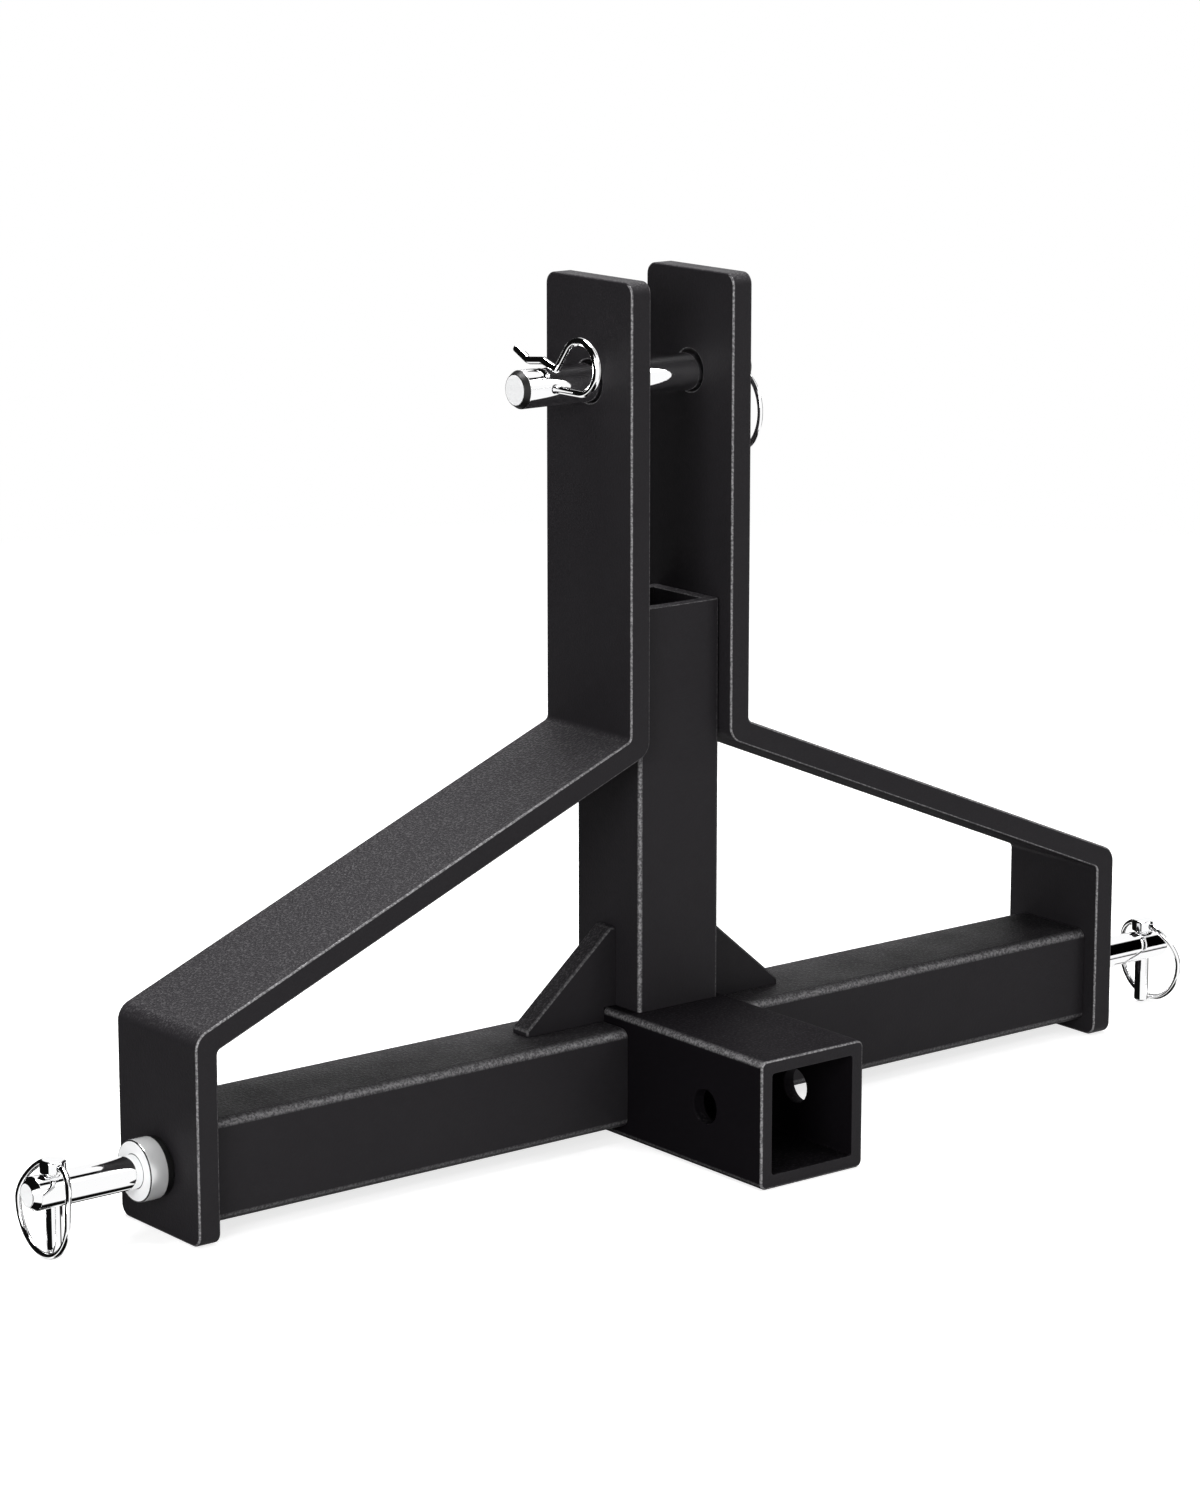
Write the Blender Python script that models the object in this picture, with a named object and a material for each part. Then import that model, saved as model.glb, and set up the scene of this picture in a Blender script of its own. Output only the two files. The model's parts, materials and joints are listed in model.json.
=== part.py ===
"""Three-point receiver hitch for a compact tractor: a steel A-frame that hangs on the tractor's
two lower links and top link, and carries a square receiver for a drawbar or a ball mount.

X runs across the tractor, the receiver's mouth faces -Y and +Z is up. All sizes are in metres.
The origin lies on the ground, in the middle of the hitch's outline seen from above.
"""

import math

import bmesh
import bpy
from mathutils import Matrix, Vector

# Seats and running fits
SEAT = 0.0003
RUNNING_FIT = 0.0003
CUT_PAST = 0.004

# Receiver tube
RECEIVER_OUTSIDE = 0.065
RECEIVER_WALL = 0.007
RECEIVER_CORNER = 0.004
RECEIVER_INNER_CORNER = 0.0015
RECEIVER_REACH = 0.129
RECEIVER_TAIL = 0.028
HITCH_PIN_HOLE = 0.0175
HITCH_PIN_SETBACK = 0.0432

# Cross tubes and mast tube
CROSS_TUBE = 0.0508
CROSS_TUBE_WALL = 0.00635
CROSS_TUBE_CORNER = 0.006
MAST_TUBE = 0.0508
MAST_WALL = 0.00635
MAST_CORNER = 0.004
MAST_TOP = 0.238

# Side plates: one flat bar each, bent twice
PLATE_WIDTH = 0.068
PLATE_THICKNESS = 0.012
PLATE_PAST_TOP_HOLE = 0.0509
PLATE_UPPER_BEND = 0.1754
PLATE_LOWER_BEND = 0.0697
PLATE_HALF_SPREAD = 0.2943
PLATE_OUTER_BEND = 0.009
PLATE_INNER_BEND = 0.003
PLATE_END_CORNER = 0.006
EDGE_ROUND = 0.0008

# Gussets between the mast and the cross tubes
GUSSET_THICKNESS = 0.0125
GUSSET_BASE = 0.0555
GUSSET_TOP = 0.0735
GUSSET_NOSE = 0.003

# Lower link pins
LOWER_PIN = 0.0165
LOWER_PIN_REACH = 0.0584
LOWER_PIN_CHAMFER = 0.0034
LOWER_PIN_TIP = 0.0116
LOWER_SHANK = 0.014
COLLAR_DIAMETER = 0.030
COLLAR_LENGTH = 0.010
COLLAR_EDGE = 0.0008
WASHER_THICKNESS = 0.0032
WASHER_DIAMETER = 0.0284
NUT_ACROSS_FLATS = 0.022
NUT_HEIGHT = 0.0128
SHANK_END = 0.002

# Lynch pins and their rings
LYNCH_SHAFT = 0.008
LYNCH_SETBACK = 0.0145
LYNCH_LENGTH = 0.0402
LYNCH_CHAMFER = 0.001
LYNCH_HEAD = 0.0125
LYNCH_HEAD_HEIGHT = 0.0062
LYNCH_HEAD_ROUND = 0.0014
RING_WIRE = 0.003
RING_RADIUS = 0.0219

# Top link pin, its clip and its pull ring
TOP_PIN = 0.01905
TOP_HOLE = 0.021
TOP_HOLE_HEIGHT = 0.3491
TOP_PIN_LEFT_REACH = 0.045
TOP_PIN_RIGHT_REACH = 0.022
TOP_PIN_CHAMFER = 0.0029
TOP_PIN_TIP = 0.0154
CLIP_SETBACK = 0.0175
CLIP_WIRE = 0.004
CLIP_LEG_END = 0.027
CLIP_LOOP_RADIUS = 0.0126
CLIP_LOOP_CENTRE = 0.0293
CLIP_NECK_OUT = 0.0110
CLIP_NECK_UP = 0.0095
CLIP_BOW_RISE = 0.0012
CLIP_DIP_OUT = 0.0115
CLIP_FLARE_OUT = 0.0218
CLIP_FLARE_RISE = 0.0050
CLIP_BEND = 0.003
PULL_RING_SETBACK = 0.0061

# How fine the round forms are
ROUND_SIDES = 36
WIRE_STEPS = 2
CORNER_STEPS = 4

# Places worked out from the sizes above
AXIS_HEIGHT = RECEIVER_OUTSIDE / 2
FRONT = -RECEIVER_REACH
BACK = max(PLATE_WIDTH / 2, RECEIVER_TAIL)
FRAME_Y = -(FRONT + BACK) / 2
MAST_FACE = MAST_TUBE / 2
UPRIGHT_INNER = MAST_FACE + SEAT
UPRIGHT_OUTER = UPRIGHT_INNER + PLATE_THICKNESS
END_PLATE_INNER = PLATE_HALF_SPREAD - PLATE_THICKNESS
RECEIVER_SIDE = RECEIVER_OUTSIDE / 2
RECEIVER_TOP = AXIS_HEIGHT + RECEIVER_OUTSIDE / 2
CROSS_TUBE_TOP = AXIS_HEIGHT + CROSS_TUBE / 2
WASHER_SEAT = PLATE_HALF_SPREAD + SEAT
COLLAR_SEAT = WASHER_SEAT + WASHER_THICKNESS + SEAT
LINK_FACE = COLLAR_SEAT + COLLAR_LENGTH
LOWER_PIN_END = LINK_FACE + LOWER_PIN_REACH
LYNCH_X = LOWER_PIN_END - LYNCH_SETBACK
LYNCH_SEAT = AXIS_HEIGHT + LOWER_PIN / 2 + SEAT
RING_STUB = LYNCH_HEAD / 2 + RING_WIRE / 2 + SEAT
RING_OFFSET = LYNCH_SHAFT / 2 + RING_WIRE / 2 + 2 * RUNNING_FIT
NUT_SEAT = END_PLATE_INNER - SEAT
TOP_HOLE_AXIS = AXIS_HEIGHT + TOP_HOLE_HEIGHT
TOP_AXIS = TOP_HOLE_AXIS - (TOP_HOLE - TOP_PIN) / 2 + 2 * SEAT
PLATE_TOP = TOP_HOLE_AXIS + PLATE_PAST_TOP_HOLE
TOP_PIN_LEFT = -(UPRIGHT_OUTER + TOP_PIN_LEFT_REACH)
TOP_PIN_RIGHT = UPRIGHT_OUTER + TOP_PIN_RIGHT_REACH
CLIP_X = TOP_PIN_LEFT + CLIP_SETBACK
PULL_RING_X = TOP_PIN_RIGHT - PULL_RING_SETBACK
PULL_RING_SAG = RING_RADIUS - math.sqrt(RING_RADIUS**2 - (TOP_PIN / 2) ** 2)
PULL_RING_HOLE = RING_WIRE + PULL_RING_SAG + 2 * RUNNING_FIT


def clear_scene():
    for thing in list(bpy.data.objects):
        bpy.data.objects.remove(thing, do_unlink=True)


def finish(name, colour, roughness, metallic):
    material = bpy.data.materials.new(name)
    material.use_nodes = True
    shader = material.node_tree.nodes["Principled BSDF"]
    shader.inputs["Base Color"].default_value = (*colour, 1.0)
    shader.inputs["Roughness"].default_value = roughness
    shader.inputs["Metallic"].default_value = metallic
    return material


def powder_coat(name):
    return finish(name + "_black_powder_coat", (0.022, 0.021, 0.023), 0.55, 0.0)


def bright_plate(name):
    return finish(name + "_bright_zinc", (0.80, 0.80, 0.82), 0.12, 1.0)


def satin_plate(name):
    return finish(name + "_satin_zinc", (0.62, 0.64, 0.65), 0.35, 1.0)


def black_oxide(name):
    return finish(name + "_black_oxide", (0.03, 0.03, 0.032), 0.45, 1.0)


def place(name, data, material, at):
    """Puts a mesh or a curve in the scene as the piece called name, with its origin at the point at."""
    data.materials.append(material)
    piece = bpy.data.objects.new(name, data)
    piece.location = at
    bpy.context.scene.collection.objects.link(piece)
    return piece


def to_mesh(name, shape):
    """Closes a bmesh into a mesh that is smooth across its round faces."""
    bmesh.ops.recalc_face_normals(shape, faces=shape.faces)
    mesh = bpy.data.meshes.new(name)
    shape.to_mesh(mesh)
    shape.free()
    mesh.shade_smooth()
    mesh.set_sharp_from_angle(angle=math.radians(35))
    return mesh


def cut(piece, mesh, at):
    """Takes the closed mesh, placed at the point at, out of a piece."""
    cutter = bpy.data.objects.new(mesh.name, mesh)
    cutter.location = at
    cutter.hide_render = True
    cutter.display_type = "WIRE"
    bpy.context.scene.collection.objects.link(cutter)
    modifier = piece.modifiers.new(mesh.name, "BOOLEAN")
    modifier.operation = "DIFFERENCE"
    modifier.solver = "EXACT"
    modifier.object = cutter


def edges_along(shape, axis):
    """The straight edges of a bmesh that run along one axis."""
    found = []
    for edge in shape.edges:
        run = (edge.verts[1].co - edge.verts[0].co).normalized()
        if abs(run[axis]) > 0.999:
            found.append(edge)
    return found


def round_edges(shape, edges, radius, steps):
    bmesh.ops.bevel(
        shape,
        geom=edges,
        offset=radius,
        offset_type="OFFSET",
        affect="EDGES",
        segments=steps,
        profile=0.5,
        material=-1,
        clamp_overlap=True,
    )


def rounded_bar(size, corner, axis):
    """A solid bar around the origin whose four edges along one axis are rounded."""
    shape = bmesh.new()
    bmesh.ops.create_cube(shape, size=1.0)
    bmesh.ops.scale(shape, vec=size, verts=shape.verts)
    round_edges(shape, edges_along(shape, axis), corner, CORNER_STEPS)
    return shape


def rod(radius, length, axis, sides=ROUND_SIDES):
    """A plain round bar around the origin, along one axis."""
    shape = bmesh.new()
    bmesh.ops.create_cone(
        shape, cap_ends=True, segments=sides, radius1=radius, radius2=radius, depth=length
    )
    turn = {0: Matrix.Rotation(math.pi / 2, 3, "Y"), 1: Matrix.Rotation(math.pi / 2, 3, "X"), 2: Matrix()}
    bmesh.ops.rotate(shape, matrix=turn[axis].to_3x3(), verts=shape.verts)
    return shape


def turned(outline, axis, sides=ROUND_SIDES):
    """Turns an outline of (place along the axis, radius) points round the axis.

    An outline that starts and ends on the axis gives a solid bar. Any other is joined end to start
    and gives a ring.
    """
    shape = bmesh.new()
    along = Vector((0.0, 0.0, 0.0))
    along[axis] = 1.0
    out = Vector((0.0, 0.0, 0.0))
    out[(axis + 1) % 3] = 1.0
    corners = [shape.verts.new(along * place_on + out * radius) for place_on, radius in outline]
    edges = [shape.edges.new(pair) for pair in zip(corners, corners[1:])]
    if outline[0][1] > 0.0:
        edges.append(shape.edges.new((corners[-1], corners[0])))
    bmesh.ops.spin(
        shape,
        geom=corners + edges,
        cent=(0.0, 0.0, 0.0),
        axis=along,
        angle=math.tau,
        steps=sides,
        use_merge=True,
    )
    bmesh.ops.remove_doubles(shape, verts=shape.verts, dist=0.000001)
    return shape


def arc_corner(before, corner, after, radius, steps):
    """The points of an arc that rounds one corner of a path, from one side to the other."""
    back = (before - corner).normalized()
    ahead = (after - corner).normalized()
    half = back.angle(ahead) / 2
    reach = radius / math.tan(half)
    centre = corner + (back + ahead).normalized() * radius / math.sin(half)
    start = corner + back * reach - centre
    end = corner + ahead * reach - centre
    turn = start.angle(end)
    arc = []
    for step in range(steps + 1):
        share = step / steps
        spoke = (start * math.sin((1 - share) * turn) + end * math.sin(share * turn)) / math.sin(turn)
        arc.append(centre + spoke)
    return arc


def extruded(outline, thickness):
    """A flat closed outline of (x, z) points, given a thickness along Y around the origin."""
    shape = bmesh.new()
    corners = [shape.verts.new((x, -thickness / 2, z)) for x, z in outline]
    face = shape.faces.new(corners)
    grown = bmesh.ops.extrude_face_region(shape, geom=[face])
    moved = [part for part in grown["geom"] if isinstance(part, bmesh.types.BMVert)]
    bmesh.ops.translate(shape, vec=(0.0, thickness, 0.0), verts=moved)
    return shape


def wire(name, path, thickness, material, at, closed=False):
    """A round wire along a path of points that start from the point at."""
    curve = bpy.data.curves.new(name, "CURVE")
    curve.dimensions = "3D"
    curve.bevel_depth = thickness / 2
    curve.bevel_resolution = WIRE_STEPS
    curve.use_fill_caps = not closed
    spline = curve.splines.new("POLY")
    spline.points.add(len(path) - 1)
    for point, (x, y, z) in zip(spline.points, path):
        point.co = (x, y, z, 1.0)
    spline.use_cyclic_u = closed
    spline.use_smooth = True
    return place(name, curve, material, at)


def square_tube(name, size, wall, corner, inner_corner, axis, at):
    """A square tube, open at both ends, around the point at."""
    outside = rounded_bar(size, corner, axis)
    round_edges(outside, [edge for edge in outside.edges if on_end(edge, size, axis)], EDGE_ROUND, 1)
    tube = place(name, to_mesh(name, outside), powder_coat(name), at)
    inside = [extent - 2 * wall for extent in size]
    inside[axis] = size[axis] + 2 * CUT_PAST
    bore = to_mesh(name + "_bore", rounded_bar(inside, inner_corner, axis))
    cut(tube, bore, at)
    return tube


def on_end(edge, size, axis):
    """Whether an edge lies in one of the two end faces of a bar around the origin."""
    return all(abs(abs(vert.co[axis]) - size[axis] / 2) < 1e-6 for vert in edge.verts)


def build_receiver():
    length = RECEIVER_REACH + RECEIVER_TAIL
    middle = FRAME_Y + (RECEIVER_TAIL - RECEIVER_REACH) / 2
    size = [RECEIVER_OUTSIDE, length, RECEIVER_OUTSIDE]
    receiver = square_tube(
        "receiver_tube", size, RECEIVER_WALL, RECEIVER_CORNER, RECEIVER_INNER_CORNER, 1,
        (0.0, middle, AXIS_HEIGHT),
    )
    hole = to_mesh("hitch_pin_hole", rod(HITCH_PIN_HOLE / 2, RECEIVER_OUTSIDE + 2 * CUT_PAST, 0))
    cut(receiver, hole, (0.0, FRAME_Y + FRONT + HITCH_PIN_SETBACK, AXIS_HEIGHT))


def build_cross_tube(name, side):
    start = RECEIVER_SIDE + SEAT
    end = END_PLATE_INNER - SEAT
    size = [end - start, CROSS_TUBE, CROSS_TUBE]
    inner_corner = max(CROSS_TUBE_CORNER - CROSS_TUBE_WALL, EDGE_ROUND)
    square_tube(
        name, size, CROSS_TUBE_WALL, CROSS_TUBE_CORNER, inner_corner, 0,
        (side * (start + end) / 2, FRAME_Y, AXIS_HEIGHT),
    )


def build_mast():
    bottom = RECEIVER_TOP + SEAT
    top = AXIS_HEIGHT + MAST_TOP
    size = [MAST_TUBE, MAST_TUBE, top - bottom]
    inner_corner = max(MAST_CORNER - MAST_WALL, EDGE_ROUND)
    square_tube(
        "mast_tube", size, MAST_WALL, MAST_CORNER, inner_corner, 2,
        (0.0, FRAME_Y, (top + bottom) / 2),
    )


def side_plate_outline():
    """The edge-on outline of the bent flat bar on the +X side, as (x, z) points."""
    upper = AXIS_HEIGHT + PLATE_UPPER_BEND
    lower = AXIS_HEIGHT + PLATE_LOWER_BEND
    slope = math.atan2(upper - lower, PLATE_HALF_SPREAD - UPRIGHT_OUTER)
    drop = PLATE_THICKNESS / math.cos(slope)

    def underside(x):
        return upper - (x - UPRIGHT_OUTER) * math.tan(slope) - drop

    outer = [
        (UPRIGHT_OUTER, PLATE_TOP),
        (UPRIGHT_OUTER, upper),
        (PLATE_HALF_SPREAD, lower),
        (PLATE_HALF_SPREAD, 0.0),
    ]
    inner = [
        (END_PLATE_INNER, 0.0),
        (END_PLATE_INNER, underside(END_PLATE_INNER)),
        (UPRIGHT_INNER, underside(UPRIGHT_INNER)),
        (UPRIGHT_INNER, PLATE_TOP),
    ]
    corners = [Vector((x, z)) for x, z in outer + inner]
    radii = {
        1: PLATE_INNER_BEND,
        2: PLATE_OUTER_BEND,
        5: PLATE_INNER_BEND,
        6: PLATE_OUTER_BEND,
    }
    outline = []
    for number, corner in enumerate(corners):
        if number in radii:
            outline += arc_corner(corners[number - 1], corner, corners[number + 1], radii[number], 5)
        else:
            outline.append(corner)
    return [(point.x, point.y) for point in outline]


def build_side_plate(name, side):
    shape = extruded([(side * x, z) for x, z in side_plate_outline()], PLATE_WIDTH)
    bmesh.ops.recalc_face_normals(shape, faces=shape.faces)

    def is_bar_end(edge):
        lengthwise = abs((edge.verts[1].co - edge.verts[0].co).normalized().x) > 0.999
        level = sum(vert.co.z for vert in edge.verts) / 2
        return lengthwise and (level < 1e-6 or level > PLATE_TOP - 1e-6)

    round_edges(shape, [edge for edge in shape.edges if is_bar_end(edge)], PLATE_END_CORNER, 3)
    long_edges = [edge for edge in shape.edges if edge.calc_face_angle(0.0) > math.radians(60)]
    round_edges(shape, long_edges, EDGE_ROUND, 1)
    plate = place(name, to_mesh(name, shape), powder_coat(name), (0.0, FRAME_Y, 0.0))
    deep = PLATE_THICKNESS + 2 * CUT_PAST
    top_hole = to_mesh(name + "_top_hole", rod(TOP_HOLE / 2, deep, 0))
    cut(plate, top_hole, (side * (UPRIGHT_INNER + UPRIGHT_OUTER) / 2, FRAME_Y, TOP_HOLE_AXIS))
    shank_hole = to_mesh(name + "_shank_hole", rod(LOWER_SHANK / 2 + RUNNING_FIT, deep, 0))
    cut(plate, shank_hole, (side * (END_PLATE_INNER + PLATE_HALF_SPREAD) / 2, FRAME_Y, AXIS_HEIGHT))


def build_gusset(name, side):
    """A triangular plate on the cross tube, notched over the shoulder of the receiver."""
    foot = MAST_FACE + SEAT
    toe = foot + GUSSET_BASE
    low = CROSS_TUBE_TOP + SEAT
    step = RECEIVER_TOP + SEAT
    peak = AXIS_HEIGHT + GUSSET_TOP
    notch = RECEIVER_SIDE + SEAT
    outline = [(foot, step), (notch, step), (notch, low), (toe, low)]
    outline += [(toe, low + GUSSET_NOSE), (foot + GUSSET_NOSE, peak), (foot, peak)]
    shape = extruded([(side * x, z) for x, z in outline], GUSSET_THICKNESS)
    place(name, to_mesh(name, shape), powder_coat(name), (0.0, FRAME_Y, 0.0))


def build_lower_pin(name, side):
    """The link pin: its shoulder bears on the washer, and its threaded shank goes through to the nut."""
    inner_end = NUT_SEAT - NUT_HEIGHT - SHANK_END
    shank = LOWER_SHANK / 2
    body = LOWER_PIN / 2
    outline = [
        (inner_end, 0.0),
        (inner_end, shank - EDGE_ROUND),
        (inner_end + EDGE_ROUND, shank),
        (COLLAR_SEAT, shank),
        (COLLAR_SEAT, body),
        (LOWER_PIN_END - LOWER_PIN_CHAMFER, body),
        (LOWER_PIN_END, LOWER_PIN_TIP / 2),
        (LOWER_PIN_END, 0.0),
    ]
    shape = turned([(side * along, radius) for along, radius in outline], 0)
    pin = place(name, to_mesh(name, shape), bright_plate(name), (0.0, FRAME_Y, AXIS_HEIGHT))
    hole = to_mesh(name + "_lynch_hole", rod(LYNCH_SHAFT / 2 + RUNNING_FIT, LOWER_PIN + 2 * CUT_PAST, 2))
    cut(pin, hole, (side * LYNCH_X, FRAME_Y, AXIS_HEIGHT))


def build_collar(name, side):
    """A ring pressed on the foot of the link pin. Its outer face is the shoulder that a link runs against."""
    bore = LOWER_PIN / 2 + SEAT
    rim = COLLAR_DIAMETER / 2
    outline = [
        (COLLAR_SEAT, bore),
        (LINK_FACE, bore),
        (LINK_FACE, rim - COLLAR_EDGE),
        (LINK_FACE - COLLAR_EDGE, rim),
        (COLLAR_SEAT + COLLAR_EDGE, rim),
        (COLLAR_SEAT, rim - COLLAR_EDGE),
    ]
    shape = turned([(side * along, radius) for along, radius in outline], 0)
    place(name, to_mesh(name, shape), satin_plate(name), (0.0, FRAME_Y, AXIS_HEIGHT))


def build_washer(name, side):
    """A split spring washer: a square-section ring with a slanted gap."""
    bore = LOWER_SHANK / 2 + RUNNING_FIT
    rim = WASHER_DIAMETER / 2
    start = WASHER_SEAT
    end = WASHER_SEAT + WASHER_THICKNESS
    outline = [(start, bore), (end, bore), (end, rim), (start, rim)]
    shape = turned([(side * along, radius) for along, radius in outline], 0)
    washer = place(name, to_mesh(name, shape), black_oxide(name), (0.0, FRAME_Y, AXIS_HEIGHT))
    slot = bmesh.new()
    bmesh.ops.create_cube(slot, size=1.0)
    bmesh.ops.scale(slot, vec=(3 * WASHER_THICKNESS, WASHER_THICKNESS / 2, rim), verts=slot.verts)
    bmesh.ops.rotate(slot, matrix=Matrix.Rotation(math.radians(25), 3, "Z"), verts=slot.verts)
    slot_mesh = to_mesh(name + "_slot", slot)
    cut(washer, slot_mesh, (side * (start + end) / 2, FRAME_Y, AXIS_HEIGHT - (bore + rim) / 2))


def build_nut(name, side):
    shape = bmesh.new()
    across_corners = NUT_ACROSS_FLATS / math.cos(math.pi / 6)
    bmesh.ops.create_cone(
        shape, cap_ends=True, segments=6, radius1=across_corners / 2, radius2=across_corners / 2,
        depth=NUT_HEIGHT,
    )
    bmesh.ops.rotate(shape, matrix=Matrix.Rotation(math.pi / 2, 3, "Y"), verts=shape.verts)
    middle = side * (NUT_SEAT - NUT_HEIGHT / 2)
    nut = place(name, to_mesh(name, shape), black_oxide(name), (middle, FRAME_Y, AXIS_HEIGHT))
    thread = to_mesh(name + "_thread", rod(LOWER_SHANK / 2 + RUNNING_FIT, NUT_HEIGHT + 2 * CUT_PAST, 0))
    cut(nut, thread, (middle, FRAME_Y, AXIS_HEIGHT))


def build_lynch_pin(name, side):
    """The shaft drops through the link pin, and the head rests on it. The origin is the head's seat."""
    shaft = LYNCH_SHAFT / 2
    head = LYNCH_HEAD / 2
    outline = [
        (-LYNCH_LENGTH, 0.0),
        (-LYNCH_LENGTH, shaft - LYNCH_CHAMFER),
        (LYNCH_CHAMFER - LYNCH_LENGTH, shaft),
        (0.0, shaft),
        (0.0, head - LYNCH_HEAD_ROUND / 2),
        (LYNCH_HEAD_ROUND / 2, head),
        (LYNCH_HEAD_HEIGHT - LYNCH_HEAD_ROUND, head),
        (LYNCH_HEAD_HEIGHT, head - LYNCH_HEAD_ROUND),
        (LYNCH_HEAD_HEIGHT, 0.0),
    ]
    at = (side * LYNCH_X, FRAME_Y, LYNCH_SEAT)
    pin = place(name, to_mesh(name, turned(outline, 2)), bright_plate(name), at)
    hole = to_mesh(name + "_ring_hole", rod(RING_WIRE / 2 + RUNNING_FIT, 2 * LYNCH_HEAD, 1, 16))
    cut(pin, hole, (at[0], at[1], at[2] + LYNCH_HEAD_HEIGHT / 2))


def lynch_ring_path(side):
    """The open ring: two stubs in the head's cross hole, and a round that leans clear of the shaft."""
    gap = RUNNING_FIT * 2
    start = math.asin(RING_STUB / RING_RADIUS)
    drop = RING_RADIUS * math.cos(start)
    half = [Vector((0.0, -gap, 0.0)), Vector((0.0, -RING_STUB * 0.55, 0.0))]
    steps = 18
    for step in range(steps + 1):
        angle = start + (math.pi - start) * step / steps
        lean = min(1.0, (angle - start) / (math.pi / 2 - start))
        ease = lean * lean * (3 - 2 * lean)
        half.append(
            Vector((
                side * RING_OFFSET * ease,
                -RING_RADIUS * math.sin(angle),
                RING_RADIUS * math.cos(angle) - drop,
            ))
        )
    mirrored = [Vector((point.x, -point.y, point.z)) for point in reversed(half[:-1])]
    return half + mirrored


def build_lynch_ring(name, side):
    at = (side * LYNCH_X, FRAME_Y, LYNCH_SEAT + LYNCH_HEAD_HEIGHT / 2)
    wire(name, lynch_ring_path(side), RING_WIRE, bright_plate(name), at)


def build_top_pin():
    """The pin lies low in the plates' wider holes, and slides through them."""
    radius = TOP_PIN / 2
    outline = [
        (TOP_PIN_LEFT, 0.0),
        (TOP_PIN_LEFT, TOP_PIN_TIP / 2),
        (TOP_PIN_LEFT + TOP_PIN_CHAMFER, radius),
        (TOP_PIN_RIGHT - TOP_PIN_CHAMFER, radius),
        (TOP_PIN_RIGHT, TOP_PIN_TIP / 2),
        (TOP_PIN_RIGHT, 0.0),
    ]
    name = "top_link_pin"
    pin = place(name, to_mesh(name, turned(outline, 0)), bright_plate(name), (0.0, FRAME_Y, TOP_AXIS))
    across = TOP_PIN + 2 * CUT_PAST
    clip_hole = to_mesh("clip_hole", rod(CLIP_WIRE / 2 + RUNNING_FIT, across, 1, 20))
    cut(pin, clip_hole, (CLIP_X, FRAME_Y, TOP_AXIS))
    ring_hole = to_mesh("pull_ring_hole", rod(PULL_RING_HOLE / 2, across, 1, 20))
    cut(pin, ring_hole, (PULL_RING_X, FRAME_Y, TOP_AXIS))


def clip_path():
    """The hairpin: straight leg, round loop, neck, and a leg that bows over the pin, dips and flares.

    The bowed leg stays high enough for the clip to be drawn out over the pin.
    """
    clear = TOP_PIN / 2 + CLIP_WIRE / 2 + RUNNING_FIT
    centre = Vector((-CLIP_LOOP_CENTRE, CLIP_LOOP_RADIUS))
    neck = Vector((-CLIP_NECK_OUT, CLIP_NECK_UP))
    to_neck = neck - centre
    leave = math.atan2(to_neck.y, to_neck.x) + math.acos(CLIP_LOOP_RADIUS / to_neck.length)
    start = -math.pi / 2
    sweep = leave - math.tau - start
    flat = [Vector((CLIP_LEG_END, 0.0)), Vector((0.0, 0.0))]
    steps = 20
    for step in range(steps + 1):
        angle = start + sweep * step / steps
        flat.append(centre + CLIP_LOOP_RADIUS * Vector((math.cos(angle), math.sin(angle))))
    bow = Vector((0.0, clear + CLIP_BOW_RISE))
    dip = Vector((CLIP_DIP_OUT, clear))
    flare = Vector((CLIP_FLARE_OUT, clear + CLIP_FLARE_RISE))
    flat += arc_corner(flat[-1], neck, bow, CLIP_BEND, 4)
    flat += arc_corner(neck, bow, dip, CLIP_BEND * 2, 4)
    flat += arc_corner(bow, dip, flare, CLIP_BEND * 2, 4)
    flat.append(flare)
    return [Vector((0.0, point.x, point.y)) for point in flat]


def build_clip():
    at = (CLIP_X, FRAME_Y, TOP_AXIS)
    wire("r_clip", clip_path(), CLIP_WIRE, bright_plate("r_clip"), at)


def build_pull_ring():
    """A closed ring threaded through the pin's end. The origin is the middle of its hole."""
    hang = RING_RADIUS - PULL_RING_SAG / 2
    steps = 40
    path = []
    for step in range(steps):
        angle = math.tau * step / steps
        path.append((0.0, RING_RADIUS * math.sin(angle), RING_RADIUS * math.cos(angle) - hang))
    at = (PULL_RING_X, FRAME_Y, TOP_AXIS)
    wire("pull_ring", path, RING_WIRE, bright_plate("pull_ring"), at, closed=True)


def main():
    clear_scene()
    build_receiver()
    build_mast()
    for hand, side in (("left", -1), ("right", 1)):
        build_cross_tube(hand + "_cross_tube", side)
        build_side_plate(hand + "_side_plate", side)
        build_gusset(hand + "_gusset", side)
        build_lower_pin(hand + "_lower_pin", side)
        build_collar(hand + "_pin_collar", side)
        build_washer(hand + "_lock_washer", side)
        build_nut(hand + "_pin_nut", side)
        build_lynch_pin(hand + "_lynch_pin", side)
        build_lynch_ring(hand + "_lynch_ring", side)
    build_top_pin()
    build_clip()
    build_pull_ring()


main()
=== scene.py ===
"""Finishes a packed three-point receiver hitch: rounded steel under black powder coat, plated pins and
wires, and a white studio around them.

The file is laid out as a Blender add-on and is run as a script. Lengths are in metres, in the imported
model's frame: X runs across the tractor, the receiver's mouth faces -Y and +Z is up.
"""

import json
import math

import bmesh
import bpy
from bpy.props import FloatProperty, FloatVectorProperty, PointerProperty
from mathutils import Matrix, Vector


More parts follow.
